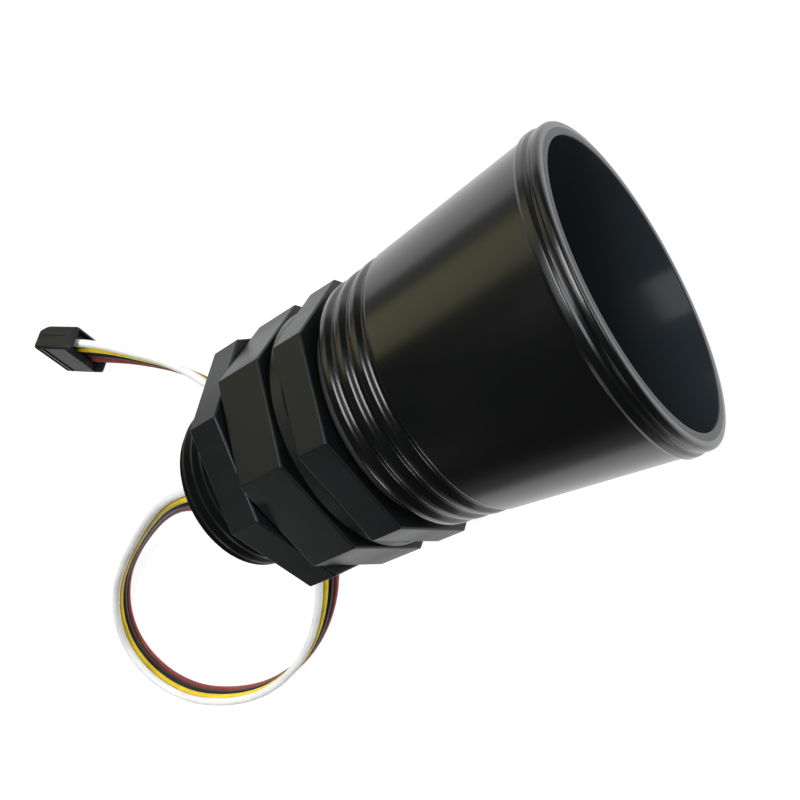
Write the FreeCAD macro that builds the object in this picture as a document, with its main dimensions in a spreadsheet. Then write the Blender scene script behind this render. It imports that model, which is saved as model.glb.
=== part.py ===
import FreeCAD, Part

import math
import os
import Sketcher

# Waterproof ultrasonic distance sensor: a flared horn on a pipe-threaded body with two octagonal
# lock nuts, a four-wire ribbon lead and its connector. It lies on its side: the bead around the
# horn's mouth and one corner of each lock nut touch the floor, z = 0.
#
# Lengths are millimetres. The sensor's own pieces are drawn along their axis: "along" is the
# distance from the rear end of the thread towards the mouth. lay_down() then tilts the axis and
# lifts it, so +X runs from the lead towards the mouth and +Z is up.

Vector = FreeCAD.Vector
Rotation = FreeCAD.Rotation
Placement = FreeCAD.Placement

doc = FreeCAD.newDocument("ultrasonic_distance_sensor")

# ---------------------------------------------------------------- driving dimensions

DIMENSIONS = {
    # how it lies
    "tilt_angle": 2.3174,
    "axis_height": 18.8711,
    "rear_end_x": -33.066,
    # threaded body: a G3/4 pipe thread, a round collar and an octagonal flange
    "thread_end_along": -1.5,
    "thread_radius": 13.22,
    "thread_pitch": 1.814,
    "thread_depth": 1.1,
    "thread_chamfer": 0.9,
    "body_bore_radius": 10.6,
    "sleeve_seat_along": 24.2,
    "sleeve_seat_radius": 12.4,
    "spigot_seat_along": 26.7,
    "spigot_seat_radius": 14.5,
    "collar_along": 23.72,
    "collar_radius": 18.1,
    "flange_along": 25.53,
    "flange_thickness": 5.0,
    "edge_rounding": 0.3,
    # lock nuts and the washers beside them
    "nut_corner_radius": 19.6,
    "nut_clearance": 0.1,
    "rear_nut_along": 9.45,
    "rear_nut_thickness": 5.2,
    "rear_nut_roll": 10.027,
    "front_nut_along": 15.02,
    "front_nut_thickness": 7.76,
    "front_nut_roll": -4.85,
    "rear_washer_along": 14.69,
    "rear_washer_thickness": 0.29,
    "rear_washer_radius": 16.6,
    "gasket_along": 22.82,
    "gasket_thickness": 0.86,
    "gasket_radius": 16.9,
    # horn
    "spigot_along": 26.8,
    "spigot_radius": 14.4,
    "spigot_bore_radius": 12.6,
    "neck_along": 30.53,
    "neck_radius": 15.8,
    "shoulder_along": 32.2,
    "shoulder_radius": 18.2,
    "shoulder_rounding": 1.0,
    "groove_first_along": 34.6,
    "groove_spacing": 2.66,
    "groove_radius": 0.6,
    "groove_lift": 0.12,
    "groove_lip_rounding": 0.5,
    "cone_end_along": 64.2,
    "cone_end_radius": 21.1,
    "bead_end_along": 65.45,
    "bead_radius": 21.5,
    "bead_rounding": 0.25,
    "rim_groove_end_along": 66.2,
    "rim_groove_radius": 21.15,
    "lip_radius": 21.4,
    "lip_rounding": 0.55,
    "mouth_along": 67.35,
    "mouth_radius": 19.37,
    "mouth_rounding": 0.2,
    "horn_floor_along": 31.2,
    "throat_radius": 13.95,
    # seal between the horn's neck and the flange
    "neck_seal_radius": 16.55,
    "neck_seal_thickness": 1.45,
    # ring and sleeve that hold the transducer
    "ring_along": 31.2,
    "ring_thickness": 1.2,
    "ring_radius": 13.75,
    "ring_bore_radius": 9.7,
    "ring_chamfer": 0.5,
    "sleeve_along": 15.5,
    "sleeve_radius": 10.5,
    "sleeve_flange_along": 24.2,
    "sleeve_flange_radius": 12.3,
    "sleeve_end_along": 31.2,
    "sleeve_bore_radius": 9.02,
    # transducer
    "can_along": 16.5,
    "can_end_along": 31.7,
    "can_radius": 8.95,
    "can_wall": 0.5,
    "can_face_thickness": 0.9,
    "piezo_radius": 5.5,
    "piezo_thickness": 0.5,
    "foam_along": 19.0,
    "foam_length": 11.3,
    "foam_radius": 8.3,
    "base_along": 17.0,
    "base_thickness": 2.0,
    "base_radius": 8.4,
    "pin_along": 12.6,
    "pin_length": 4.4,
    "pin_radius": 0.4,
    "pin_offset": 1.6,
    "pin_height": 0.92,
    # upright capacitor on the board, and the leads between the board and the rear plug
    "bulk_capacitor_radius": 2.15,
    "bulk_capacitor_height": 4.6,
    "bulk_capacitor_along": 10.2,
    "bulk_capacitor_side": -5.6,
    "board_top": 0.5,
    "lead_along": 3.0,
    "lead_length": 1.3,
    "lead_radius": 0.35,
    "lead_height": 1.2,
    # rear closing
    "plug_along": 0.6,
    "plug_thickness": 2.4,
    "plug_radius": 10.5,
    "boot_length": 2.8,
    "boot_width": 8.6,
    "boot_height": 3.8,
    "boot_rounding": 0.8,
    # ribbon lead
    "wire_diameter": 1.4,
    "connector_pitch": 2.0,
    "wire_depth": 2.2,
    "fan_length": 2.6,
    # connector, laid on one long edge
    "housing_length": 8.6,
    "housing_width": 9.8,
    "housing_thickness": 4.55,
    "housing_low": -2.45,
    "housing_wall": 0.55,
    "recess_depth": 1.3,
    "notch_depth": 1.7,
    "notch_level": 0.2,
    "cavity_size": 1.6,
    "cavity_depth": 6.0,
    "stripe_width": 0.75,
    "stripe_depth": 0.35,
    "stripe_first": 6.1,
    "stripe_spacing": 1.35,
    "nose_length": 2.2,
    "nose_depth": 1.4,
    "housing_roll": 42.0,
    "housing_heading": 152.0,
    "housing_x": -60.0,
    "housing_y": 33.24,
    "housing_z": 5.281,
    "contact_length": 4.2,
    "contact_height": 1.1,
}

# Boxes on the circuit board: length, width and height, then the rear, right and lower corner.
BOARD_PIECES = {
    "circuit_board": (11.2, 21.1, 1.0, 4.0, -10.55, -0.5),
    "wire_header": (2.4, 8.4, 1.7, 4.3, -4.2, 0.5),
    "step_up_transformer": (5.0, 5.0, 4.2, 7.4, 1.6, 0.5),
    "crystal": (1.3, 2.6, 0.8, 8.6, -1.5, 0.5),
    "filter_capacitor_1": (0.8, 1.6, 0.8, 13.6, -7.0, 0.5),
    "filter_capacitor_2": (0.8, 1.6, 0.8, 13.6, -4.6, 0.5),
    "filter_capacitor_3": (0.8, 1.6, 0.8, 13.6, 4.6, 0.5),
    "microcontroller": (4.4, 5.0, 1.1, 5.2, -5.6, -1.6),
    "echo_amplifier": (3.9, 4.9, 1.4, 10.2, 1.2, -1.9),
}
for name, numbers in BOARD_PIECES.items():
    for word, number in zip(("length", "width", "height", "along", "side", "level"), numbers):
        DIMENSIONS[name + "_" + word] = number

sheet = doc.addObject("Spreadsheet::Sheet", "Dimensions")
for row, (alias, number) in enumerate(DIMENSIONS.items(), start=1):
    sheet.set("A%d" % row, alias)
    sheet.set("B%d" % row, str(number))
    sheet.setAlias("B%d" % row, alias)
doc.recompute()


def value(alias):
    """A driving dimension's number."""
    return float(getattr(sheet, alias))


def bind(item, prop, expression):
    """item.prop follows an expression written in the sheet's aliases."""
    words = expression.split(" ")
    bound = ["Dimensions." + word if word in DIMENSIONS else word for word in words]
    item.setExpression(prop, " ".join(bound))


def number_of(expression):
    """The number that an expression in the sheet's aliases has now."""
    total, sign = 0.0, 1.0
    for word in expression.split(" "):
        if word in "+-":
            sign = -1.0 if word == "-" else 1.0
        else:
            total += sign * (value(word) if word in DIMENSIONS else float(word))
    return total


# ---------------------------------------------------------------- building helpers

LYING = Placement(
    Vector(value("rear_end_x"), 0, value("axis_height")),
    Rotation(Vector(0, 1, 0), -value("tilt_angle")),
)
ALONG_AXIS = Rotation(Vector(0, 1, 0), 90)
parts = []


def finished(item, label, placement):
    """Registers a sub-part under its own label and puts it in its place."""
    item.Label = label
    item.Placement = placement
    parts.append(item)
    return item


def origin_plane(body, role):
    return [item for item in body.Origin.OriginFeatures if item.Role == role][0]


def new_sketch(body, name):
    sketch = body.newObject("Sketcher::SketchObject", name)
    sketch.AttachmentSupport = (origin_plane(body, "XY_Plane"), [""])
    sketch.MapMode = "FlatFace"
    return sketch


def draw_outline(sketch, outline):
    """A closed outline of straight lines. Each corner is (along, radius), two bound expressions."""
    corners = [Vector(number_of(along), number_of(radius), 0) for along, radius in outline]
    for start, end in zip(corners, corners[1:] + corners[:1]):
        sketch.addGeometry(Part.LineSegment(start, end), False)
    count = len(corners)
    for line in range(count):
        sketch.addConstraint(Sketcher.Constraint("Coincident", line, 2, (line + 1) % count, 1))
    for line, expressions in enumerate(outline):
        for kind, expression in zip(("DistanceX", "DistanceY"), expressions):
            place = number_of(expression)
            index = sketch.addConstraint(Sketcher.Constraint(kind, -1, 1, line, 1, place))
            bind(sketch, "Constraints[%d]" % index, expression)


def revolve(body, outline, name="Profile"):
    """Turns an outline about the sensor's axis."""
    sketch = new_sketch(body, name)
    draw_outline(sketch, outline)
    turned = body.newObject("PartDesign::Revolution", name + "Turned")
    turned.Profile = sketch
    turned.ReferenceAxis = (sketch, ["H_Axis"])
    turned.Angle = 360
    doc.recompute()
    return turned


def circle_edges(shape, wanted):
    """Names of a shape's circular edges about the axis, at the wanted (along, radius) places."""
    names = []
    for index, edge in enumerate(shape.Edges, start=1):
        curve = edge.Curve
        if not isinstance(curve, Part.Circle) or abs(curve.Axis.x) < 0.999:
            continue
        for along, radius in wanted:
            if abs(curve.Center.x - along) < 0.01 and abs(curve.Radius - radius) < 0.01:
                names.append("Edge%d" % index)
    return names


def round_edges(body, base, wanted, radius):
    """Rounds circular edges with a radius bound to a dimension."""
    names = circle_edges(base.Shape, [(number_of(a), number_of(r)) for a, r in wanted])
    if len(names) < len(wanted):
        raise ValueError("%s: an edge to round is missing" % body.Name)
    fillet = body.newObject("PartDesign::Fillet", "Rounded" + radius)
    fillet.Base = (base, names)
    bind(fillet, "Radius", radius)
    doc.recompute()
    return fillet


def turned_piece(label, outline):
    """A sub-part that is one outline turned about the axis."""
    body = doc.addObject("PartDesign::Body", label)
    revolve(body, outline)
    return finished(body, label, LYING)


def disc(label, along, radius, thickness, side=0.0, height=0.0):
    """A solid disc or pin with its axis parallel to the sensor's."""
    piece = doc.addObject("Part::Cylinder", label)
    bind(piece, "Radius", radius)
    bind(piece, "Height", thickness)
    own = Placement(Vector(value(along), side, height), ALONG_AXIS)
    return finished(piece, label, LYING.multiply(own))


def octagon(name, along, thickness, roll):
    """An octagonal block across the axis. Unrolled, one corner points straight down."""
    prism = doc.addObject("Part::Prism", name)
    prism.Polygon = 8
    bind(prism, "Circumradius", "nut_corner_radius")
    bind(prism, "Height", thickness)
    spin = Rotation(Vector(1, 0, 0), value(roll))
    prism.Placement = Placement(Vector(value(along), 0, 0), spin.multiply(ALONG_AXIS))
    return prism


def axis_cylinder(name, along, radius, thickness):
    """A plain cylinder on the axis, for cutting and joining."""
    cylinder = doc.addObject("Part::Cylinder", name)
    bind(cylinder, "Radius", radius)
    bind(cylinder, "Height", thickness)
    cylinder.Placement = Placement(Vector(value(along), 0, 0), ALONG_AXIS)
    return cylinder


def boolean(kind, name, base, tool):
    result = doc.addObject("Part::" + kind, name)
    result.Base = base
    result.Tool = tool
    return result


# ---------------------------------------------------------------- horn


def make_horn():
    body = doc.addObject("PartDesign::Body", "horn")
    shape = revolve(
        body,
        [
            ("spigot_along", "spigot_bore_radius"),
            ("spigot_along", "spigot_radius"),
            ("neck_along", "spigot_radius"),
            ("neck_along", "neck_radius"),
            ("shoulder_along", "neck_radius"),
            ("shoulder_along", "shoulder_radius"),
            ("cone_end_along", "cone_end_radius"),
            ("cone_end_along + 0.2", "bead_radius"),
            ("bead_end_along", "bead_radius"),
            ("bead_end_along + 0.2", "rim_groove_radius"),
            ("rim_groove_end_along", "rim_groove_radius"),
            ("rim_groove_end_along + 0.2", "lip_radius"),
            ("mouth_along", "lip_radius"),
            ("mouth_along", "mouth_radius"),
            ("horn_floor_along", "throat_radius"),
            ("horn_floor_along", "spigot_bore_radius"),
        ],
    )
    # three round-bottomed grooves just in front of the shoulder
    slope = (value("cone_end_radius") - value("shoulder_radius")) / (
        value("cone_end_along") - value("shoulder_along")
    )
    sketch = new_sketch(body, "Grooves")
    for count in range(3):
        along = value("groove_first_along") + count * value("groove_spacing")
        surface = value("shoulder_radius") + slope * (along - value("shoulder_along"))
        centre = Vector(along, surface + value("groove_lift"), 0)
        circle = Part.Circle(centre, Vector(0, 0, 1), value("groove_radius"))
        line = sketch.addGeometry(circle, False)
        index = sketch.addConstraint(Sketcher.Constraint("Radius", line, circle.Radius))
        bind(sketch, "Constraints[%d]" % index, "groove_radius")
    cut = body.newObject("PartDesign::Groove", "GroovesCut")
    cut.Profile = sketch
    cut.ReferenceAxis = (sketch, ["H_Axis"])
    cut.Angle = 360
    before = shape.Shape.Volume
    doc.recompute()
    if cut.Shape.Volume >= before:
        raise ValueError("horn: the grooves cut nothing")
    first = value("groove_first_along") - value("groove_radius")
    last = value("groove_first_along") + 2 * value("groove_spacing") + value("groove_radius")
    lip_places = []
    for edge in cut.Shape.Edges:
        if isinstance(edge.Curve, Part.Circle) and first <= edge.Curve.Center.x <= last:
            if edge.Curve.Radius > value("shoulder_radius"):
                lip_places.append((str(edge.Curve.Center.x), str(edge.Curve.Radius)))
    lips = round_edges(body, cut, lip_places, "groove_lip_rounding")
    shoulder = round_edges(
        body, lips, [("shoulder_along", "shoulder_radius")], "shoulder_rounding"
    )
    bead = round_edges(
        body,
        shoulder,
        [
            ("cone_end_along + 0.2", "bead_radius"),
            ("bead_end_along", "bead_radius"),
            ("rim_groove_end_along + 0.2", "lip_radius"),
        ],
        "bead_rounding",
    )
    lip = round_edges(body, bead, [("mouth_along", "lip_radius")], "lip_rounding")
    round_edges(body, lip, [("mouth_along", "mouth_radius")], "mouth_rounding")
    return finished(body, "horn", LYING)


# ---------------------------------------------------------------- threaded body


def make_threaded_body():
    body = doc.addObject("PartDesign::Body", "threaded_tube")
    tube = revolve(
        body,
        [
            ("thread_end_along", "body_bore_radius"),
            ("thread_end_along", "thread_radius - thread_chamfer"),
            ("thread_end_along + thread_chamfer", "thread_radius"),
            ("collar_along", "thread_radius"),
            ("collar_along", "collar_radius"),
            ("flange_along", "collar_radius"),
            ("flange_along", "sleeve_seat_radius"),
            ("sleeve_seat_along", "sleeve_seat_radius"),
            ("sleeve_seat_along", "body_bore_radius"),
        ],
    )
    # the thread: a 55 degree groove along a right-hand helix
    sketch = new_sketch(body, "ThreadForm")
    root = value("thread_radius") - value("thread_depth")
    top = value("thread_radius") + 0.1
    half_top = (top - root) * math.tan(math.radians(27.5)) + 0.12
    start = value("thread_end_along") - 0.7 * value("thread_pitch")
    corners = [
        Vector(start - 0.12, root, 0),
        Vector(start + 0.12, root, 0),
        Vector(start + half_top, top, 0),
        Vector(start - half_top, top, 0),
    ]
    for first, second in zip(corners, corners[1:] + corners[:1]):
        sketch.addGeometry(Part.LineSegment(first, second), False)
    helix = body.newObject("PartDesign::SubtractiveHelix", "Thread")
    helix.Profile = sketch
    helix.ReferenceAxis = (sketch, ["H_Axis"])
    helix.Mode = 0
    bind(helix, "Pitch", "thread_pitch")
    bind(helix, "Height", "collar_along - thread_end_along - 0.6")
    before = tube.Shape.Volume
    doc.recompute()
    if helix.Shape.Volume >= before:
        raise ValueError("threaded_body: the thread cuts nothing")
    # the octagonal flange, bored for the horn's spigot and the sleeve
    flange = octagon("flange", "flange_along", "flange_thickness", "front_nut_roll")
    doc.recompute()
    rounded = round_octagon("flange_rounded", flange)
    wide = axis_cylinder("spigot_seat", "spigot_seat_along", "spigot_seat_radius", "flange_thickness")
    bored = boolean("Cut", "flange_bored", rounded, wide)
    narrow = axis_cylinder("sleeve_seat", "sleeve_seat_along", "sleeve_seat_radius", "flange_thickness")
    seated = boolean("Cut", "flange_seated", bored, narrow)
    joined = boolean("Fuse", "threaded_body", body, seated)
    doc.recompute()
    return finished(joined, "threaded_body", LYING)


def round_octagon(name, base):
    """Takes the sharpness off an octagonal block's outer edges."""
    rounded = doc.addObject("Part::Fillet", name)
    rounded.Base = base
    edges = []
    for index, edge in enumerate(base.Shape.Edges, start=1):
        if isinstance(edge.Curve, (Part.Line, Part.LineSegment)):
            edges.append((index, value("edge_rounding"), value("edge_rounding")))
    rounded.Edges = edges
    doc.recompute()
    return rounded


def make_nut(label, along, thickness, roll):
    block = octagon(label + "_block", along, thickness, roll)
    doc.recompute()
    rounded = round_octagon(label + "_rounded", block)
    bore = axis_cylinder(label + "_bore", along, "thread_radius + nut_clearance", thickness)
    nut = boolean("Cut", label, rounded, bore)
    return finished(nut, label, LYING)


def ring_outline(along, thickness, radius, bore):
    end = along + " + " + thickness
    return [(along, bore), (along, radius), (end, radius), (end, bore)]


# ---------------------------------------------------------------- transducer and electronics


def make_transducer():
    turned_piece(
        "transducer_ring",
        [
            ("ring_along", "ring_bore_radius"),
            ("ring_along", "ring_radius"),
            ("ring_along + ring_thickness", "ring_radius"),
            ("ring_along + ring_thickness", "ring_bore_radius + ring_chamfer"),
            ("ring_along + ring_thickness - ring_chamfer", "ring_bore_radius"),
        ],
    )
    turned_piece(
        "isolating_sleeve",
        [
            ("sleeve_along", "sleeve_bore_radius"),
            ("sleeve_along", "sleeve_radius"),
            ("sleeve_flange_along", "sleeve_radius"),
            ("sleeve_flange_along", "sleeve_flange_radius"),
            ("sleeve_end_along", "sleeve_flange_radius"),
            ("sleeve_end_along", "sleeve_bore_radius"),
        ],
    )
    outer = axis_cylinder("can_outer", "can_along", "can_radius", "can_end_along - can_along")
    inner = axis_cylinder(
        "can_inner", "can_along", "can_radius - can_wall", "can_end_along - can_along - can_face_thickness"
    )
    can = boolean("Cut", "transducer_can", outer, inner)
    finished(can, "transducer_can", LYING)
    piezo = disc("piezo_disc", "can_end_along", "piezo_radius", "piezo_thickness")
    back = value("can_face_thickness") + value("piezo_thickness")
    piezo.Placement = piezo.Placement.multiply(Placement(Vector(0, 0, -back), Rotation()))
    disc("damping_foam", "foam_along", "foam_radius", "foam_length")
    disc("transducer_base", "base_along", "base_radius", "base_thickness")
    for side, word in ((-1, "right"), (1, "left")):
        offset = side * value("pin_offset")
        disc(
            "transducer_pin_" + word,
            "pin_along",
            "pin_radius",
            "pin_length",
            offset,
            value("pin_height"),
        )


def make_board():
    for name in BOARD_PIECES:
        piece = doc.addObject("Part::Box", name)
        bind(piece, "Length", name + "_length")
        bind(piece, "Width", name + "_width")
        bind(piece, "Height", name + "_height")
        corner = Vector(value(name + "_along"), value(name + "_side"), value(name + "_level"))
        finished(piece, name, LYING.multiply(Placement(corner, Rotation())))
    capacitor = doc.addObject("Part::Cylinder", "bulk_capacitor")
    bind(capacitor, "Radius", "bulk_capacitor_radius")
    bind(capacitor, "Height", "bulk_capacitor_height")
    foot = Vector(value("bulk_capacitor_along"), value("bulk_capacitor_side"), value("board_top"))
    finished(capacitor, "bulk_capacitor", LYING.multiply(Placement(foot, Rotation())))
    for number, wire in enumerate(WIRES):
        side = (1.5 - number) * value("wire_diameter")
        label = wire.replace("wire", "lead")
        disc(label, "lead_along", "lead_radius", "lead_length", side, value("lead_height"))


def make_rear_end():
    disc("rear_plug", "plug_along", "plug_radius", "plug_thickness")
    block = doc.addObject("Part::Box", "boot_block")
    bind(block, "Length", "boot_length")
    bind(block, "Width", "boot_width")
    bind(block, "Height", "boot_height")
    rear = value("plug_along") - value("boot_length")
    block.Placement = Placement(
        Vector(rear, -value("boot_width") / 2, -value("boot_height") / 2), Rotation()
    )
    doc.recompute()
    boot = doc.addObject("Part::Fillet", "cable_boot")
    boot.Base = block
    rounding = value("boot_rounding")
    lengthwise = []
    for index, edge in enumerate(block.Shape.Edges, start=1):
        if abs(edge.tangentAt(edge.FirstParameter).x) > 0.999:
            lengthwise.append((index, rounding, rounding))
    boot.Edges = lengthwise
    finished(boot, "cable_boot", LYING)


# ---------------------------------------------------------------- ribbon lead

# The ribbon's middle line, from the boot to the connector: x, y, z, then its lean in degrees.
# With no lean the ribbon stands on edge, the white wire on top. At -90 it lies flat.
ROUTE = [
    (-35.264, 0.0, 18.782, -90),
    (-41.55, 0.3, 18.1, -80),
    (-48.75, 1.9, 15.7, -58),
    (-56.35, 2.2, 12.4, -32),
    (-64.15, 1.2, 9.1, -13),
    (-71.95, -0.7, 6.3, -3),
    (-79.55, -3.3, 4.3, 4),
    (-86.65, -7.1, 3.1, 8),
    (-91.75, -13.2, 2.8, 9),
    (-93.55, -20.3, 2.8, 9),
    (-91.45, -27.8, 2.8, 7),
    (-86.05, -33.7, 2.8, 3),
    (-78.25, -36.9, 2.8, 0),
    (-69.55, -38.2, 2.8, 0),
    (-60.75, -36.9, 2.8, 2),
    (-52.45, -33.2, 2.8, 6),
    (-45.35, -27.4, 2.8, 14),
    (-40.05, -20.0, 2.8, 19),
    (-37.25, -11.2, 2.8, 14),
    (-36.85, -2.0, 2.8, 3),
    (-38.25, 6.9, 2.8, -9),
    (-41.35, 15.3, 2.75, -20),
    (-46.35, 22.4, 2.9, -30),
    (-52.55, 28.0, 4.3, -38),
]
WIRES = ("wire_white", "wire_yellow", "wire_black", "wire_red")


def across(route, index):
    """The direction from the white wire to the red one at a point of the route."""
    before = Vector(*route[max(index - 1, 0)][:3])
    after = Vector(*route[min(index + 1, len(route) - 1)][:3])
    forward = (after - before).normalize()
    side = Vector(forward.y, -forward.x, 0).normalize()
    lean = math.radians(route[index][3])
    direction = side * math.sin(lean) - Vector(0, 0, 1) * math.cos(lean)
    direction = direction - forward * direction.dot(forward)
    return direction.normalize()


def wire_points(number):
    """The route of one wire, counted from white. It ends in its own cavity of the connector."""
    offset = number - 1.5
    points = []
    for index, place in enumerate(ROUTE):
        spread = across(ROUTE, index) * value("wire_diameter") * offset
        points.append(Vector(*place[:3]) + spread)
    for depth in (-value("fan_length"), value("wire_depth")):
        inside = Vector(depth, value("connector_pitch") * offset, 0)
        points.append(connector_frame().multVec(inside))
    return points


def smooth_path(points):
    """Straight runs joined by tangent arcs, as large as the runs allow."""
    edges, radii, start = [], [], points[0]
    for before, corner, after in zip(points, points[1:], points[2:]):
        back, ahead = before - corner, after - corner
        turn = math.pi - back.getAngle(ahead)
        reach = 0.45 * min(back.Length, ahead.Length)
        radii.append(reach / math.tan(turn / 2))
        back.normalize()
        ahead.normalize()
        first, last = corner + back * reach, corner + ahead * reach
        inward = (back + ahead).normalize()
        depth = radii[-1] / math.cos(turn / 2) - radii[-1]
        edges.append(Part.LineSegment(start, first).toShape())
        edges.append(Part.Arc(first, corner + inward * depth, last).toShape())
        start = last
    edges.append(Part.LineSegment(start, points[-1]).toShape())
    return Part.Wire(edges), radii


def make_wire(number, label):
    points = wire_points(number)
    path, radii = smooth_path(points)
    radius = value("wire_diameter") / 2
    section = Part.Wire(Part.Circle(points[0], points[1] - points[0], radius).toShape())
    solid = path.makePipeShell([section], True, False)
    expected = math.pi * radius * radius * path.Length
    print(
        "%s: length %.1f, volume %.3f of section times length, tightest radius %.1f"
        % (label, path.Length, solid.Volume / expected, min(radii))
    )
    piece = doc.addObject("Part::Feature", label)
    piece.Shape = solid
    return finished(piece, label, Placement())


# ---------------------------------------------------------------- connector


def connector_frame():
    """At the middle of the wire end. Its x runs into the housing, its y from white to red."""
    heading = math.radians(value("housing_heading"))
    roll = math.radians(value("housing_roll"))
    inwards = Vector(math.cos(heading), math.sin(heading), 0)
    side = Vector(-math.sin(heading), math.cos(heading), 0)
    row = side * math.sin(roll) - Vector(0, 0, 1) * math.cos(roll)
    rotation = Rotation(inwards, row, inwards.cross(row), "XYZ")
    middle = Vector(value("housing_x"), value("housing_y"), value("housing_z"))
    return Placement(middle, rotation)


def block_at(name, size, corner):
    """A box with bound sizes, from one corner in the connector's own frame."""
    piece = doc.addObject("Part::Box", name)
    for prop, expression in zip(("Length", "Width", "Height"), size):
        bind(piece, prop, expression)
    piece.Placement = Placement(Vector(*corner), Rotation())
    return piece


def make_connector():
    length, width = value("housing_length"), value("housing_width")
    wall, low = value("housing_wall"), value("housing_low")
    top = low + value("housing_thickness")
    pitch, cavity = value("connector_pitch"), value("cavity_size")
    shell = block_at(
        "housing_block",
        ("housing_length", "housing_width", "housing_thickness"),
        (0, -width / 2, low),
    )
    cutters = [
        block_at(
            "recess",
            ("recess_depth", "housing_width - housing_wall - housing_wall",
             "housing_thickness - housing_wall - housing_wall"),
            (0, wall - width / 2, wall + low),
        ),
        # one broad side is cut back, so the wires show where they enter
        block_at(
            "notch",
            ("notch_depth", "housing_width - housing_wall - housing_wall", "housing_thickness"),
            (0, wall - width / 2, value("notch_level")),
        ),
    ]
    centres = [(number - 1.5) * pitch for number in range(4)]
    for number, centre in enumerate(centres):
        cutters.append(
            block_at(
                "cavity_%d" % number,
                ("cavity_depth", "cavity_size", "cavity_size"),
                (0.5, centre - cavity / 2, -cavity / 2),
            )
        )
    for number in range(2):
        along = value("stripe_first") + number * value("stripe_spacing")
        cutters.append(
            block_at(
                "stripe_%d" % number,
                ("stripe_width", "housing_width - housing_wall - housing_wall", "stripe_depth"),
                (along, wall - width / 2, top - value("stripe_depth")),
            )
        )
    # the slope at the mating end
    corner = Vector(length, -width / 2, low)
    back = corner - Vector(value("nose_length"), 0, 0)
    up = corner + Vector(0, 0, value("nose_depth"))
    slope = doc.addObject("Part::Feature", "nose_slope")
    slope.Shape = Part.Face(Part.makePolygon([corner, back, up, corner])).extrude(Vector(0, width, 0))
    cutters.append(slope)
    all_cutters = doc.addObject("Part::MultiFuse", "housing_cutters")
    all_cutters.Shapes = cutters
    housing = boolean("Cut", "connector_housing", shell, all_cutters)
    finished(housing, "connector_housing", connector_frame())
    for number, centre in enumerate(centres):
        contact = doc.addObject("Part::Box", "crimp_contact")
        bind(contact, "Length", "contact_length")
        bind(contact, "Width", "cavity_size")
        bind(contact, "Height", "contact_height")
        own = Placement(Vector(value("wire_depth"), centre - cavity / 2, -cavity / 2), Rotation())
        label = "crimp_contact_" + WIRES[number].split("_")[1]
        finished(contact, label, connector_frame().multiply(own))


# ---------------------------------------------------------------- assembly

make_horn()
make_threaded_body()
make_nut("rear_lock_nut", "rear_nut_along", "rear_nut_thickness", "rear_nut_roll")
make_nut("front_lock_nut", "front_nut_along", "front_nut_thickness", "front_nut_roll")
turned_piece(
    "rear_washer",
    ring_outline(
        "rear_washer_along",
        "rear_washer_thickness",
        "rear_washer_radius",
        "thread_radius + nut_clearance",
    ),
)
turned_piece(
    "panel_gasket",
    ring_outline("gasket_along", "gasket_thickness", "gasket_radius", "thread_radius + nut_clearance"),
)
turned_piece(
    "neck_seal",
    ring_outline("neck_along", "neck_seal_thickness", "neck_seal_radius", "neck_radius + 0.02"),
)
make_transducer()
make_board()
make_rear_end()
for number, label in enumerate(WIRES):
    make_wire(number, label)
make_connector()
doc.recompute()

# ---------------------------------------------------------------- checks and export

for item in doc.Objects:
    if "Invalid" in item.State or "Error" in item.State:
        raise ValueError("%s failed: %s" % (item.Name, item.State))
os.makedirs("parts", exist_ok=True)
for piece in parts:
    shape = piece.Shape
    if shape.isNull() or not shape.isValid() or len(shape.Solids) != 1:
        raise ValueError("%s is not one valid solid" % piece.Label)
    shape.exportStep("parts/%s.step" % piece.Label)
    lowest = min(corner.z for corner in shape.tessellate(0.01)[0])
    print("%-22s volume %9.2f  lowest %6.3f" % (piece.Label, shape.Volume, lowest))
print("%d pieces" % len(parts))
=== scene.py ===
import math

import bmesh
import bpy
from mathutils import Matrix, Vector


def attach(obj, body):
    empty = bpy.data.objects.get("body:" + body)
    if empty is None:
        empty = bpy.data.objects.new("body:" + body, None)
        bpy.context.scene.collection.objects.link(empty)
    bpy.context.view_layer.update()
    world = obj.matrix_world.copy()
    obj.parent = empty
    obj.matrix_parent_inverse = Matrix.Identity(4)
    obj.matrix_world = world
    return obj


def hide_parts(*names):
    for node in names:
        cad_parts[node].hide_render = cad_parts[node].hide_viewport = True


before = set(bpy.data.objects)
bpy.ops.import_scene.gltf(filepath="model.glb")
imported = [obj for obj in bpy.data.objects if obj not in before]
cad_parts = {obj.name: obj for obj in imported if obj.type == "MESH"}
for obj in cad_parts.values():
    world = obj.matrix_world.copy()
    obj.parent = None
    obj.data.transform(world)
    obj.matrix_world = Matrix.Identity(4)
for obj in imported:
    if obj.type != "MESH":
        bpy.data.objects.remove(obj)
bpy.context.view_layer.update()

# Everything is in metres in the row's frame: +X from the lead's end towards the mouth, +Z up,
# the floor at z = 0. The sensor's own axis tilts up a little towards the mouth.
TILT = math.radians(2.3174)
REAR_END = Vector((-0.033066, 0.0, 0.0188711))
LYING = Matrix.Translation(REAR_END) @ Matrix.Rotation(-TILT, 4, "Y")

# ---------------------------------------------------------------- camera

CAMERA_PLACE = (0.05672, 0.0091, 0.1298)
CAMERA_RIGHT = (0.78, -0.4966, -0.3806)
CAMERA_BACK = (0.4724, 0.0684, 0.8787)
LENS, SENSOR_WIDTH = 40.68, 36.0


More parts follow.
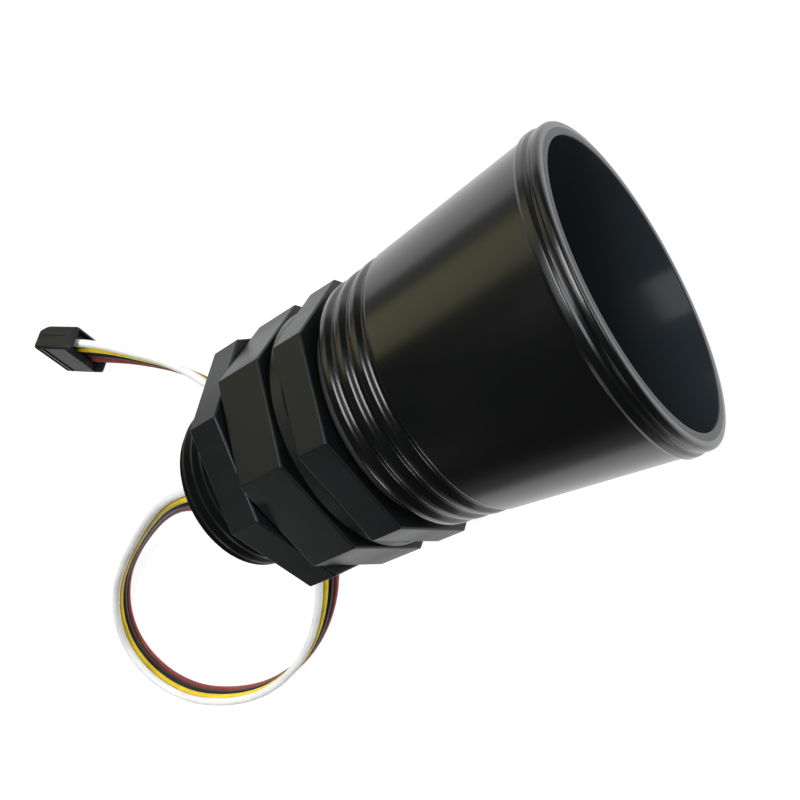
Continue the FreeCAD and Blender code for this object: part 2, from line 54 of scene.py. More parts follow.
def make_camera():
    data = bpy.data.cameras.new("camera")
    data.sensor_width = SENSOR_WIDTH
    data.lens = LENS
    data.clip_start = 0.01
    camera = bpy.data.objects.new("camera", data)
    right = Vector(CAMERA_RIGHT).normalized()
    back = Vector(CAMERA_BACK)
    back = (back - right * back.dot(right)).normalized()
    up = back.cross(right)
    turn = Matrix((right, up, back)).transposed().to_4x4()
    camera.matrix_world = Matrix.Translation(CAMERA_PLACE) @ turn
    bpy.context.scene.collection.objects.link(camera)
    bpy.context.scene.camera = camera


make_camera()

# ---------------------------------------------------------------- ribbon lead

# The ribbon's middle line in millimetres from the boot to the connector, then its lean in
# degrees. With no lean the ribbon stands on edge, the white wire on top. At -90 it lies flat.
ROUTE = [
    (-35.264, 0.0, 18.782, -90),
    (-41.55, 0.3, 18.1, -80),
    (-48.75, 1.9, 15.7, -58),
    (-56.35, 2.2, 12.4, -32),
    (-64.15, 1.2, 9.1, -13),
    (-71.95, -0.7, 6.3, -3),
    (-79.55, -3.3, 4.3, 4),
    (-86.65, -7.1, 3.1, 8),
    (-91.75, -13.2, 2.8, 9),
    (-93.55, -20.3, 2.8, 9),
    (-91.45, -27.8, 2.8, 7),
    (-86.05, -33.7, 2.8, 3),
    (-78.25, -36.9, 2.8, 0),
    (-69.55, -38.2, 2.8, 0),
    (-60.75, -36.9, 2.8, 2),
    (-52.45, -33.2, 2.8, 6),
    (-45.35, -27.4, 2.8, 14),
    (-40.05, -20.0, 2.8, 19),
    (-37.25, -11.2, 2.8, 14),
    (-36.85, -2.0, 2.8, 3),
    (-38.25, 6.9, 2.8, -9),
    (-41.35, 15.3, 2.75, -20),
    (-46.35, 22.4, 2.9, -30),
    (-52.55, 28.0, 4.3, -38),
]
WIRES = ("white", "yellow", "black", "red")
WIRE_DIAMETER = 1.4
CONNECTOR_PITCH = 2.0
HEADING = math.radians(152.0)
ROLL = math.radians(42.0)
CONNECTOR_MIDDLE = Vector((-60.0, 33.24, 5.281))
WIRE_ENTRY = (-0.0026, 0.0022)  # each wire's last two points, along the housing from its wire end


def connector_frame():
    """At the middle of the wire end. Its x runs into the housing, its y from white to red."""
    inwards = Vector((math.cos(HEADING), math.sin(HEADING), 0))
    side = Vector((-math.sin(HEADING), math.cos(HEADING), 0))
    row = side * math.sin(ROLL) - Vector((0, 0, 1)) * math.cos(ROLL)
    turn = Matrix((inwards, row, inwards.cross(row))).transposed().to_4x4()
    return Matrix.Translation(CONNECTOR_MIDDLE * 0.001) @ turn


def across(index):
    """The direction from the white wire to the red one at a point of the route."""
    before = Vector(ROUTE[max(index - 1, 0)][:3])
    after = Vector(ROUTE[min(index + 1, len(ROUTE) - 1)][:3])
    forward = (after - before).normalized()
    side = Vector((forward.y, -forward.x, 0)).normalized()
    lean = math.radians(ROUTE[index][3])
    direction = side * math.sin(lean) - Vector((0, 0, 1)) * math.cos(lean)
    return (direction - forward * direction.dot(forward)).normalized()


def wire_points(number):
    """A wire's control points in metres: beside the ribbon's middle line, then into the housing."""
    offset = number - 1.5
    points = []
    for index, place in enumerate(ROUTE):
        spread = across(index) * WIRE_DIAMETER * offset
        points.append((Vector(place[:3]) + spread) * 0.001)
    for depth in WIRE_ENTRY:
        points.append(connector_frame() @ Vector((depth, CONNECTOR_PITCH * offset * 0.001, 0)))
    return points


def make_wire(number, word):
    """One wire as a round NURBS curve, and its first point. The points' radius is the wire's."""
    data = bpy.data.curves.new("ribbon_" + word, "CURVE")
    data.dimensions = "3D"
    data.bevel_depth = 1.0
    data.bevel_resolution = 6
    data.resolution_u = 16
    data.use_fill_caps = True
    spline = data.splines.new("NURBS")
    points = wire_points(number)
    spline.points.add(len(points) - 1)
    for point, place in zip(spline.points, points):
        point.co = (*place, 1.0)
        point.radius = WIRE_DIAMETER * 0.0005
    spline.order_u = 3
    spline.use_endpoint_u = True
    wire = bpy.data.objects.new("ribbon_" + word, data)
    bpy.context.scene.collection.objects.link(wire)
    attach(wire, "sensor")
    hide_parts("wire_" + word)
    return wire, points[0]


# ---------------------------------------------------------------- materials


class Nodes:
    """A material's node tree, with short ways to add and join nodes."""

    def __init__(self, name):
        self.material = bpy.data.materials.new(name)
        self.material.use_nodes = True
        self.tree = self.material.node_tree
        self.shader = self.tree.nodes["Principled BSDF"]
        self.place = self.add("ShaderNodeTexCoord").outputs["Object"]

    def add(self, kind, **settings):
        node = self.tree.nodes.new(kind)
        for key, setting in settings.items():
            setattr(node, key, setting)
        return node

    def join(self, start, end):
        self.tree.links.new(start, end)

    def stretched(self, scale, turn=(0, 0, 0)):
        mapping = self.add("ShaderNodeMapping")
        mapping.inputs["Scale"].default_value = scale
        mapping.inputs["Rotation"].default_value = turn
        self.join(self.place, mapping.inputs["Vector"])
        return mapping.outputs["Vector"]

    def noise(self, scale, detail=3.0, roughness=0.55, vector=None):
        noise = self.add("ShaderNodeTexNoise")
        noise.inputs["Scale"].default_value = scale
        noise.inputs["Detail"].default_value = detail
        noise.inputs["Roughness"].default_value = roughness
        self.join(self.place if vector is None else vector, noise.inputs["Vector"])
        return noise.outputs["Fac"]

    def ramp(self, value, stops):
        """value sent through a colour ramp of (position, grey or colour) stops."""
        ramp = self.add("ShaderNodeValToRGB")
        elements = ramp.color_ramp.elements
        while len(elements) < len(stops):
            elements.new(0.5)
        for element, (position, colour) in zip(elements, stops):
            element.position = position
            grey = isinstance(colour, (int, float))
            element.color = (colour, colour, colour, 1) if grey else (*colour, 1)
        self.join(value, ramp.inputs["Fac"])
        return ramp.outputs["Color"]

    def range(self, value, low, high):
        """A 0 to 1 value spread between low and high."""
        spread = self.add("ShaderNodeMapRange")
        spread.inputs["From Min"].default_value = 0.25
        spread.inputs["From Max"].default_value = 0.75
        spread.inputs["To Min"].default_value = low
        spread.inputs["To Max"].default_value = high
        self.join(value, spread.inputs["Value"])
        return spread.outputs["Result"]

    def bump(self, height, strength, distance, under=None):
        bump = self.add("ShaderNodeBump")
        bump.inputs["Strength"].default_value = strength
        bump.inputs["Distance"].default_value = distance
        self.join(height, bump.inputs["Height"])
        if under is not None:
            self.join(under, bump.inputs["Normal"])
        return bump.outputs["Normal"]

    def set(self, **inputs):
        for name, value in inputs.items():
            self.shader.inputs[name.replace("_", " ")].default_value = value

    def math(self, operation, *values):
        """A maths node whose values are sockets or plain numbers."""
        node = self.add("ShaderNodeMath", operation=operation)
        for entry, value in zip(node.inputs, values):
            if isinstance(value, (int, float)):
                entry.default_value = value
            else:
                self.join(value, entry)
        return node.outputs["Value"]

    def axis_place(self):
        """The place in the sensor's own frame: x runs along its axis from the rear end."""
        mapping = self.add("ShaderNodeMapping", vector_type="TEXTURE")
        mapping.inputs["Location"].default_value = REAR_END
        mapping.inputs["Rotation"].default_value = (0, -TILT, 0)
        self.join(self.place, mapping.inputs["Vector"])
        return mapping.outputs["Vector"]

    def override(self, name, value, mask):
        """Gives a shader input another value, a number or a colour, wherever the mask is 0."""
        entry = self.shader.inputs[name]
        mix = self.add("ShaderNodeMix", data_type="RGBA" if isinstance(value, tuple) else "FLOAT")
        mix.inputs["A"].default_value = value
        if entry.links:
            self.join(entry.links[0].from_socket, mix.inputs["B"])
        else:
            mix.inputs["B"].default_value = entry.default_value
        self.join(mask, mix.inputs["Factor"])
        self.join(mix.outputs["Result"], entry)


def moulded_nodes(name, dark, light, gloss, grain=3500.0, grain_height=2e-6, specular=0.5, tint=(1, 1, 1)):
    """Injection-moulded plastic: a fine grain, faint flow marks and an uneven sheen. Its reflections take
    the tint given, which is a painted colour of reflected light.
    """
    nodes = Nodes(name)
    cloud = nodes.noise(45.0, 4.0)
    nodes.join(nodes.ramp(cloud, [(0.3, dark), (0.7, light)]), nodes.shader.inputs["Base Color"])
    flow = nodes.noise(1.0, 3.0, 0.5, nodes.stretched((40, 160, 160), (0, TILT, 0)))
    nodes.join(nodes.range(flow, *gloss), nodes.shader.inputs["Roughness"])
    fine = nodes.bump(nodes.noise(grain, 2.0), 0.5, grain_height)
    nodes.join(fine, nodes.shader.inputs["Normal"])
    # the tint colours the reflections themselves: a painted colour of reflected light, not the plastic's
    # own
    nodes.set(Specular_IOR_Level=specular, Specular_Tint=(*tint, 1))
    return nodes


def moulded(name, dark, light, gloss, **finish):
    return moulded_nodes(name, dark, light, gloss, **finish).material


def horn_shell(name):
    """The horn's plastic: glossy black outside. Inside the mouth it is smoother, and its base colour is a
    lighter blue-grey that is a painted haze of reflected light on the same black plastic.
    """
    nodes = moulded_nodes(name, *HORN_OUTSIDE, (0.21, 0.26), grain=2400.0, grain_height=4e-7)
    split = nodes.add("ShaderNodeSeparateXYZ")
    nodes.join(nodes.axis_place(), split.inputs["Vector"])
    squares = [nodes.math("MULTIPLY", split.outputs[axis], split.outputs[axis]) for axis in "YZ"]
    radius = nodes.math("POWER", nodes.math("ADD", *squares), 0.5)
    middle = nodes.math("MULTIPLY_ADD", split.outputs["X"], HORN_MIDDLE_SLOPE, HORN_MIDDLE_RADIUS)
    outside = nodes.math("GREATER_THAN", radius, middle)
    # inside the mouth the base colour is a painted bluish haze of reflected light, lighter than the black
    # plastic outside
    nodes.override("Base Color", (*HORN_INSIDE_PAINTED_HAZE, 1), outside)
    nodes.override("Roughness", HORN_INSIDE_ROUGHNESS, outside)
    nodes.override("Specular IOR Level", HORN_INSIDE_SPECULAR, outside)
    return nodes.material


def insulation(name, dark, light):
    """Extruded PVC: a soft gloss with slight draw marks and handling dirt."""
    nodes = Nodes(name)
    cloud = nodes.noise(260.0, 4.0)
    nodes.join(nodes.ramp(cloud, [(0.35, dark), (0.6, light)]), nodes.shader.inputs["Base Color"])
    nodes.join(nodes.range(nodes.noise(900.0), 0.34, 0.5), nodes.shader.inputs["Roughness"])
    nodes.join(nodes.bump(nodes.noise(1500.0, 2.0), 0.3, 1e-5), nodes.shader.inputs["Normal"])
    nodes.set(Subsurface_Weight=0.05, Subsurface_Scale=0.0006, Specular_IOR_Level=0.35)
    return nodes.material


def metal(name, dark, light, gloss, lathed=False):
    """Plain metal with a fine surface. A lathed face shows rings round the sensor's axis."""
    nodes = Nodes(name)
    cloud = nodes.noise(300.0, 4.0)
    nodes.join(nodes.ramp(cloud, [(0.3, dark), (0.7, light)]), nodes.shader.inputs["Base Color"])
    nodes.join(nodes.range(nodes.noise(1200.0), *gloss), nodes.shader.inputs["Roughness"])
    if lathed:
        rings = nodes.add("ShaderNodeTexWave", wave_type="RINGS", rings_direction="X")
        rings.inputs["Scale"].default_value = 900.0
        nodes.join(nodes.axis_place(), rings.inputs["Vector"])
        height = rings.outputs["Fac"]
    else:
        height = nodes.noise(2500.0)
    nodes.join(nodes.bump(height, 0.25, 6e-6), nodes.shader.inputs["Normal"])
    nodes.set(Metallic=1.0)
    return nodes.material


def board_green(name):
    """Solder mask over copper tracks."""
    nodes = Nodes(name)
    tracks = nodes.add("ShaderNodeTexBrick")
    tracks.inputs["Scale"].default_value = 420.0
    tracks.inputs["Mortar Size"].default_value = 0.012
    tracks.inputs["Color1"].default_value = (0.012, 0.09, 0.03, 1)
    tracks.inputs["Color2"].default_value = (0.014, 0.11, 0.04, 1)
    tracks.inputs["Mortar"].default_value = (0.04, 0.22, 0.08, 1)
    nodes.join(nodes.place, tracks.inputs["Vector"])
    nodes.join(tracks.outputs["Color"], nodes.shader.inputs["Base Color"])
    nodes.join(nodes.bump(tracks.outputs["Fac"], 0.4, 2e-5), nodes.shader.inputs["Normal"])
    nodes.join(nodes.range(nodes.noise(600.0), 0.25, 0.4), nodes.shader.inputs["Roughness"])
    return nodes.material


# halfway between the horn's inner and outer cones, as a radius in metres that grows along the axis
HORN_MIDDLE_RADIUS = 0.01223
HORN_MIDDLE_SLOPE = 0.121
HORN_OUTSIDE = ((0.0028, 0.003, 0.0032), (0.0048, 0.005, 0.0048))
# the inside's base colour: a painted bluish haze of reflected light, several times lighter than the same
# plastic outside
HORN_INSIDE_PAINTED_HAZE = (0.024, 0.029, 0.033)
HORN_INSIDE_ROUGHNESS = 0.17
HORN_INSIDE_SPECULAR = 0.05


def grey(level):
    return (level, level, level)


# moulded(name, darkest colour, lightest colour, roughness from and to, grain and sheen)
MATERIALS = {
    "shell": horn_shell("shell"),
    "nut": moulded(
        "nut",
        (0.0045, 0.0047, 0.005),
        (0.009, 0.0092, 0.009),
        (0.34, 0.46),
        grain=5200.0,
        grain_height=4e-6,
        specular=0.3,
        # a cool blue tint on the nuts' reflections: a painted colour of reflected light
        tint=(0.88, 0.93, 1.0),
    ),
    "rubber": moulded("rubber", grey(0.01), grey(0.018), (0.6, 0.75), grain=6000.0, grain_height=8e-6),
    "silicone": moulded("silicone", (0.3, 0.31, 0.3), (0.38, 0.39, 0.38), (0.5, 0.65)),
    "foam": moulded("foam", grey(0.06), grey(0.13), (0.85, 0.95), grain=1800.0, grain_height=1e-4),
    "potting": moulded("potting", grey(0.008), grey(0.014), (0.18, 0.4), grain=900.0, grain_height=6e-6),
    "connector": moulded(
        "connector",
        (0.007, 0.008, 0.0078),
        (0.016, 0.017, 0.0165),
        (0.36, 0.5),
        grain=7000.0,
        grain_height=4e-6,
        specular=0.18,
    ),
    "chip": moulded("chip", grey(0.01), grey(0.018), (0.5, 0.65), grain=9000.0, grain_height=5e-6),
    "header": moulded("header", (0.6, 0.58, 0.52), (0.72, 0.7, 0.64), (0.4, 0.5)),
    "transformer": moulded("transformer", (0.5, 0.33, 0.02), (0.66, 0.46, 0.05), (0.35, 0.5)),
    "capacitor": moulded("capacitor", (0.2, 0.11, 0.05), (0.3, 0.18, 0.09), (0.4, 0.55)),
    "ceramic": moulded("ceramic", (0.5, 0.47, 0.38), (0.62, 0.58, 0.5), (0.45, 0.6)),
    "aluminium": metal("aluminium", (0.5, 0.51, 0.52), (0.64, 0.65, 0.66), (0.3, 0.42), lathed=True),
    "tin": metal("tin", (0.55, 0.55, 0.53), (0.7, 0.7, 0.68), (0.25, 0.4)),
    "brass": metal("brass", (0.55, 0.38, 0.14), (0.7, 0.5, 0.2), (0.25, 0.4)),
    "board": board_green("board"),
    "wire_white": insulation("wire_white", (0.72, 0.72, 0.71), (0.82, 0.82, 0.81)),
    "wire_yellow": insulation("wire_yellow", (0.62, 0.44, 0.006), (0.78, 0.58, 0.012)),
    "wire_black": insulation("wire_black", (0.004, 0.004, 0.0045), (0.008, 0.008, 0.009)),
    "wire_red": insulation("wire_red", (0.2, 0.026, 0.026), (0.28, 0.045, 0.042)),
}

NODE_MATERIALS = {
    "horn": "shell",
    "threaded_body": "nut",
    "front_lock_nut": "nut",
    "rear_lock_nut": "nut",
    "panel_gasket": "rubber",
    "rear_washer": "rubber",
    "neck_seal": "rubber",
    "transducer_ring": "shell",
    "isolating_sleeve": "silicone",
    "transducer_can": "aluminium",
    "piezo_disc": "ceramic",
    "damping_foam": "foam",
    "transducer_base": "chip",
    "transducer_pin_left": "brass",
    "transducer_pin_right": "brass",
    "circuit_board": "board",
    "wire_header": "header",
    "step_up_transformer": "transformer",
    "bulk_capacitor": "aluminium",
    "crystal": "tin",
    "filter_capacitor_1": "capacitor",
    "filter_capacitor_2": "capacitor",
    "filter_capacitor_3": "capacitor",
    "microcontroller": "chip",
    "echo_amplifier": "chip",
    "rear_plug": "potting",
    "cable_boot": "potting",
    "connector_housing": "connector",
}
for word in WIRES:
    NODE_MATERIALS["lead_" + word] = "wire_" + word
    NODE_MATERIALS["crimp_contact_" + word] = "tin"


def paint(item, key):
    item.data.materials.clear()
    item.data.materials.append(MATERIALS[key])


for node, key in NODE_MATERIALS.items():
    paint(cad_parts[node], key)

# ---------------------------------------------------------------- detailed pieces


# the boot in millimetres
BOOT_HALF_WIDTH, BOOT_HALF_HEIGHT = 4.3, 1.9
RIB_PITCH, RIB_TAPER, RIB_DEPTH = 0.78, 0.16, 0.3

# the connector housing in millimetres, x from the wire end, z up from the pins' level
HOUSING_LENGTH = 8.6
HOUSING_HALF_WIDTH = 4.9
HOUSING_LOW, HOUSING_HIGH = -2.45, 2.1
ROW_HALF_WIDTH = 4.35
BEYOND = 3.0  # clear of the housing's top, for a cutter's far side

# the horn in millimetres: its outer cone as (along, radius), and its corners as
# (along, radius, rounding) from the cone's end round the bead and the lip into the mouth
CONE_START = (32.2, 18.2)
CONE_END = (64.2, 21.1)
SHOULDER_ROUNDING = 1.0
GROOVES = 3
GROOVE_ALONG = 34.6
GROOVE_PITCH = 2.66
GROOVE_HALF_WIDTH = 1.08
GROOVE_DEPTH = 0.5
GROOVES_FROM = 33.4
GROOVE_STEP = 0.09
GROOVE_STEPS = 87
BEAD_AND_LIP = [
    (64.5, 21.5, 0.25),
    (65.4, 21.5, 0.3),
    (65.75, 21.17, 0.2),
    (66.15, 21.17, 0.2),
    (66.45, 21.4, 0.3),
    (67.35, 21.4, 0.55),
    (67.35, 19.37, 0.2),
]


def smooth(mesh, degrees=32.0):
    """Smooth shading, with edges sharper than the angle kept."""
    mesh.polygons.foreach_set("use_smooth", [True] * len(mesh.polygons))
    mesh.set_sharp_from_angle(angle=math.radians(degrees))


def new_piece(name, mesh, node, key, body="sensor"):
    """A finished mesh as a piece that stands for one CAD node."""
    smooth(mesh)
    piece = bpy.data.objects.new(name, mesh)
    bpy.context.scene.collection.objects.link(piece)
    paint(piece, key)
    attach(piece, body)
    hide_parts(node)
    return piece


def mesh_of(name, form, matrix):
    """A closed bmesh drawn in millimetres, put in its place in metres."""
    bmesh.ops.recalc_face_normals(form, faces=form.faces)
    form.transform(matrix @ Matrix.Scale(0.001, 4))
    mesh = bpy.data.meshes.new(name)
    form.to_mesh(mesh)
    form.free()
    return mesh


def turned(name, outline, segments=144):
    """A solid of revolution from a closed outline of (along, radius) points."""
    form = bmesh.new()
    rings = []
    for along, radius in outline:
        if radius == 0:
            rings.append([form.verts.new((along, 0, 0))])
            continue
        angles = [2 * math.pi * step / segments for step in range(segments)]
        rings.append(
            [form.verts.new((along, radius * math.cos(a), radius * math.sin(a))) for a in angles]
        )
    for here, there in zip(rings, rings[1:] + rings[:1]):
        for step in range(segments):
            after = (step + 1) % segments
            corners = [here[step % len(here)], here[after % len(here)]]
            corners += [there[after % len(there)], there[step % len(there)]]
            corners = list(dict.fromkeys(corners))
            if len(corners) > 2:
                form.faces.new(corners)
    return mesh_of(name, form, LYING)


def rounded(corners, steps=8):
    """An outline from corners (along, radius, rounding), each rounded as told."""
    outline = []
    for index, (along, radius, rounding) in enumerate(corners):
        here = Vector((along, radius))
        if rounding == 0:
            outline.append((along, radius))
            continue
        back = (Vector(corners[index - 1][:2]) - here).normalized()
        ahead = (Vector(corners[index + 1][:2]) - here).normalized()
        reach = rounding * math.tan((math.pi - back.angle(ahead)) / 2)
        first, last = here + back * reach, here + ahead * reach
        for step in range(steps + 1):
            share = step / steps
            start = first * (1 - share) ** 2
            outline.append(tuple(start + here * 2 * share * (1 - share) + last * share**2))
    return outline


def rounded_loop(half_width, half_height, power=4.0, count=64):
    """Points (side, height) round a box with full corners."""
    points = []
    for step in range(count):
        angle = 2 * math.pi * (step + 0.5) / count
        cos, sin = math.cos(angle), math.sin(angle)
        side = half_width * math.copysign(abs(cos) ** (2 / power), cos)
        height = half_height * math.copysign(abs(sin) ** (2 / power), sin)
        points.append((side, height))
    return points


def lofted(name, sections):
    """A closed skin over sections of (along, half width, half height)."""
    form = bmesh.new()
    loops = []
    for along, half_width, half_height in sections:
        points = rounded_loop(half_width, half_height)
        loops.append([form.verts.new((along, side, height)) for side, height in points])
    for here, there in zip(loops, loops[1:]):
        for step in range(len(here)):
            after = (step + 1) % len(here)
            form.faces.new((here[step], here[after], there[after], there[step]))
    form.faces.new(loops[0])
    form.faces.new(loops[-1])
    return mesh_of(name, form, LYING)


def oval_section(along, radius, half_length, half_depth, power=3.0, count=24):
    """A ring's rounded cross-section, as an outline for turned()."""
    loop = rounded_loop(half_length, half_depth, power, count)
    return [(along + side, radius + height) for side, height in loop]


def arc(along, radius, size, start, end, steps=6):
    """Points of a quarter round, angles in degrees from +along towards +radius."""
    points = []
    for step in range(steps + 1):
        angle = math.radians(start + (end - start) * step / steps)
        points.append((along + size * math.cos(angle), radius + size * math.sin(angle)))
    return points


def groove_depth(along):
    """How deep the three rounded grooves cut at a place along the axis."""
    for number in range(GROOVES):
        away = abs(along - GROOVE_ALONG - GROOVE_PITCH * number) / GROOVE_HALF_WIDTH
        if away < 1:
            return GROOVE_DEPTH * (0.5 + 0.5 * math.cos(math.pi * away))
    return 0.0


def make_horn():
    """The horn with its shoulder, grooves, bead and lip, finely turned."""
    slope = (CONE_END[1] - CONE_START[1]) / (CONE_END[0] - CONE_START[0])
    corners = [(26.8, 12.6, 0), (26.8, 14.4, 0), (30.53, 14.4, 0), (30.53, 15.8, 0)]
    corners += [(CONE_START[0], 15.8, 0), (*CONE_START, SHOULDER_ROUNDING)]
    for step in range(GROOVE_STEPS):
        along = GROOVES_FROM + GROOVE_STEP * step
        radius = CONE_START[1] + slope * (along - CONE_START[0]) - groove_depth(along)
        corners.append((along, radius, 0))
    corners += [(*CONE_END, 0.4)] + BEAD_AND_LIP
    corners += [(31.2, 13.95, 0), (31.2, 12.6, 0)]
    mesh = turned("horn_shell", rounded(corners), 288)
    new_piece("horn_shell", mesh, "horn", "shell")


def make_neck_seal():
    mesh = turned("neck_ring", oval_section(31.255, 16.185, 0.7, 0.35))
    new_piece("neck_ring", mesh, "neck_seal", "rubber")


def make_can():
    """The drawn cup of the transducer, its face with a pressed ring and a rolled open edge."""
    outline = [(16.5, 8.45), (16.5, 8.95), (31.2, 8.95)]
    outline += arc(31.2, 8.45, 0.5, 90, 0)[1:]
    outline += [(31.7, 7.7), (31.62, 7.55), (31.62, 7.3), (31.7, 7.15), (31.7, 0)]
    outline += [(30.8, 0), (30.8, 8.45)]
    new_piece("can_shell", turned("can_shell", outline), "transducer_can", "aluminium")


def make_potting():
    """Cast resin that climbs a little where it wets the tube."""
    outline = [(3.0, 0), (3.0, 10.5), (0.6, 10.5), (0.72, 10.3), (0.86, 9.9), (0.95, 9.2)]
    outline += [(0.98, 8.0), (0.98, 0)]
    new_piece("potting", turned("potting", outline), "rear_plug", "potting")


def make_boot():
    """A short tapered strain relief with three flexing grooves."""
    sections = [(1.4, BOOT_HALF_WIDTH, BOOT_HALF_HEIGHT), (0.55, BOOT_HALF_WIDTH, BOOT_HALF_HEIGHT)]
    for rib in range(3):
        front = 0.2 - rib * RIB_PITCH
        shrink = RIB_TAPER * (rib + 1)
        wide, high = BOOT_HALF_WIDTH - shrink, BOOT_HALF_HEIGHT - shrink
        sections += [
            (front, wide - RIB_DEPTH, high - RIB_DEPTH),
            (front - 0.22, wide - RIB_DEPTH, high - RIB_DEPTH),
            (front - 0.3, wide, high),
            (front - 0.62, wide - 0.05, high - 0.05),
        ]
    sections.append((-2.16, 3.5, 1.1))
    mesh = lofted("boot_relief", sections)
    return new_piece("boot_relief", mesh, "cable_boot", "rubber")


def block(name, low, high, bevel=0.0):
    """A box between two corners in millimetres, its edges optionally rounded."""
    form = bmesh.new()
    bmesh.ops.create_cube(form, size=1)
    for vert in form.verts:
        for axis in range(3):
            middle, size = (low[axis] + high[axis]) / 2, high[axis] - low[axis]
            vert.co[axis] = middle + vert.co[axis] * size
    if bevel:
        bmesh.ops.bevel(form, geom=form.edges, offset=bevel, segments=3, affect="EDGES", profile=0.5)
    mesh = bpy.data.meshes.new(name)
    form.to_mesh(mesh)
    form.free()
    item = bpy.data.objects.new(name, mesh)
    bpy.context.scene.collection.objects.link(item)
    return item


def sloped_cutter():
    """Takes a wedge off the housing's underside towards its mating end."""
    slope = block("cut_slope", (6.4, -6, -5), (10.5, 6, HOUSING_LOW))
    for vert in slope.data.vertices:
        if vert.co.z > -3:
            vert.co.z = HOUSING_LOW + (vert.co.x - 6.4) * 1.4 / 2.2
    return slope


def make_housing():
    """The crimp housing: open wire end, retention windows, two slots and pin entries."""
    wide, row = HOUSING_HALF_WIDTH, ROW_HALF_WIDTH
    shell = block("housing_shell", (0, -wide, HOUSING_LOW), (HOUSING_LENGTH, wide, HOUSING_HIGH), 0.55)
    cutters = [
        block("cut_recess", (-1, -row, -1.9), (1.3, row, 1.55), 0.12),
        block("cut_notch", (-1, -row, 0.2), (1.7, row, BEYOND), 0.1),
        block("cut_slot_1", (6.1, -row, 1.75), (6.85, row, BEYOND), 0.08),
        block("cut_slot_2", (7.45, -row, 1.75), (8.2, row, BEYOND), 0.08),
        sloped_cutter(),
    ]
    for number in range(len(WIRES)):
        centre = (number - 1.5) * CONNECTOR_PITCH
        cutters += [
            block("cut_cavity", (0.5, centre - 0.8, -0.8), (6.3, centre + 0.8, 0.8), 0.1),
            block("cut_window", (3.0, centre - 0.5, -3), (4.3, centre + 0.5, -1.0), 0.08),
            block("cut_pin_entry", (5.5, centre - 0.4, -0.35), (9.5, centre + 0.4, 0.45), 0.05),
        ]
    for side in (-wide, wide):
        cutters.append(
            block("cut_side_groove", (2.2, side - 0.18, -0.5), (8.9, side + 0.18, 0.5), 0.05)
        )
    for cutter in cutters:
        cut = shell.modifiers.new(cutter.name, "BOOLEAN")
        cut.object = cutter
        cut.operation = "DIFFERENCE"
        cut.solver = "EXACT"
    graph = bpy.context.evaluated_depsgraph_get()
    mesh = bpy.data.meshes.new_from_object(shell.evaluated_get(graph))
    for item in [shell] + cutters:
        bpy.data.objects.remove(item)
    mesh.transform(connector_frame() @ Matrix.Scale(0.001, 4))
    return new_piece("housing_shell", mesh, "connector_housing", "connector")


make_horn()
make_neck_seal()
make_can()
make_potting()
boot = make_boot()
housing = make_housing()

# ---------------------------------------------------------------- ribbon wires

wires = []
for number, word in enumerate(WIRES):
    wire, start = make_wire(number, word)
    paint(wire, "wire_" + word)
    wires.append(wire)
    pieces = [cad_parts["crimp_contact_" + word]]
    if number == 0:
        pieces += [housing, boot]

# ---------------------------------------------------------------- floor and light

FLOOR_RADIUS = 0.15
FLOOR_GLOW = 0.92
HORIZON = (0.0, 0.1)  # the heights in the sky where the horizon's glow starts and ends to fade
HORIZON_GLOW = 0.22
OVERHEAD_GLOW = 0.03


def make_floor():
    """White paper with a light from below, as in a light tent, so shadows stay faint."""
    form = bmesh.new()
    bmesh.ops.create_circle(form, cap_ends=True, radius=FLOOR_RADIUS, segments=96)
    data = bpy.data.meshes.new("floor")
    form.to_mesh(data)
    form.free()
    floor = bpy.data.objects.new("floor", data)
    bpy.context.scene.collection.objects.link(floor)
    nodes = Nodes("floor_paper")
    cloud = nodes.noise(3.0)
    nodes.join(nodes.ramp(cloud, [(0.3, 0.24), (0.7, 0.26)]), nodes.shader.inputs["Base Color"])
    nodes.set(Roughness=0.9, Specular_IOR_Level=0.1)
    nodes.set(Emission_Color=(1, 1, 1, 1), Emission_Strength=FLOOR_GLOW)
    data.materials.append(nodes.material)


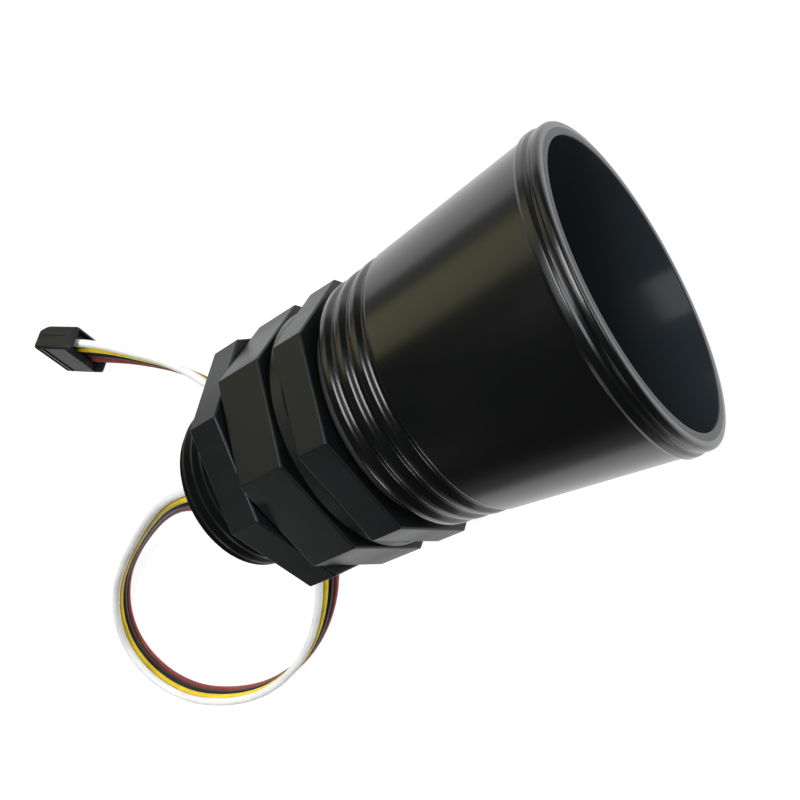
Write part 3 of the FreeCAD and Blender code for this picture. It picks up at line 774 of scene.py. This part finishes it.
def area_light(name, place, target, size, radiance, colour=(1, 1, 1)):
    """A soft box that shines with the given radiance."""
    data = bpy.data.lights.new(name, "AREA")
    data.shape = "RECTANGLE"
    data.size, data.size_y = size
    data.energy = radiance * math.pi * size[0] * size[1]
    data.color = colour
    light = bpy.data.objects.new(name, data)
    light.location = place
    direction = Vector(target) - Vector(place)
    light.rotation_euler = direction.to_track_quat("-Z", "Y").to_euler()
    light.visible_camera = False
    bpy.context.scene.collection.objects.link(light)


def make_world():
    """A white backdrop that lights the scene only dimly, so that black gloss stays black."""
    world = bpy.data.worlds.new("studio")
    bpy.context.scene.world = world
    world.use_nodes = True
    tree = world.node_tree
    background = tree.nodes["Background"]
    place = tree.nodes.new("ShaderNodeTexCoord")
    split = tree.nodes.new("ShaderNodeSeparateXYZ")
    fade = tree.nodes.new("ShaderNodeMapRange")
    fade.interpolation_type = "SMOOTHSTEP"
    limits = (*HORIZON, HORIZON_GLOW, OVERHEAD_GLOW)
    for name, limit in zip(("From Min", "From Max", "To Min", "To Max"), limits):
        fade.inputs[name].default_value = limit
    tree.links.new(place.outputs["Generated"], split.inputs["Vector"])
    tree.links.new(split.outputs["Z"], fade.inputs["Value"])
    seen = tree.nodes.new("ShaderNodeLightPath")
    pale = tree.nodes.new("ShaderNodeMix")
    pale.inputs["B"].default_value = 1.0
    tree.links.new(seen.outputs["Is Camera Ray"], pale.inputs["Factor"])
    tree.links.new(fade.outputs["Result"], pale.inputs["A"])
    tree.links.new(pale.outputs["Result"], background.inputs["Strength"])
    background.inputs["Color"].default_value = (1, 1, 1, 1)


make_floor()
make_world()
# name, place, target, size, radiance and colour
area_light("key", (0.02, 0.35, 0.74), (0.0, 0.0, 0.02), (0.42, 0.5), 11.0)
area_light("blue_card", (0.16, 0.56, 0.52), (0.03, 0.0, 0.02), (0.3, 0.22), 0.9, (0.65, 0.85, 1.0))
area_light("olive_card", (-0.48, 0.82, 0.32), (0.02, 0.0, 0.02), (0.7, 0.5), 2.2, (0.5, 0.47, 0.27))
area_light("front_card", (0.85, 0.05, 0.34), (0.03, 0.0, 0.02), (0.5, 0.4), 6.0, (0.85, 0.94, 1.0))
area_light("rear_card", (-0.76, -0.43, 0.25), (-0.02, 0.0, 0.02), (0.25, 0.15), 6.0)
bpy.context.scene.view_settings.view_transform = "Standard"

bpy.context.view_layer.update()
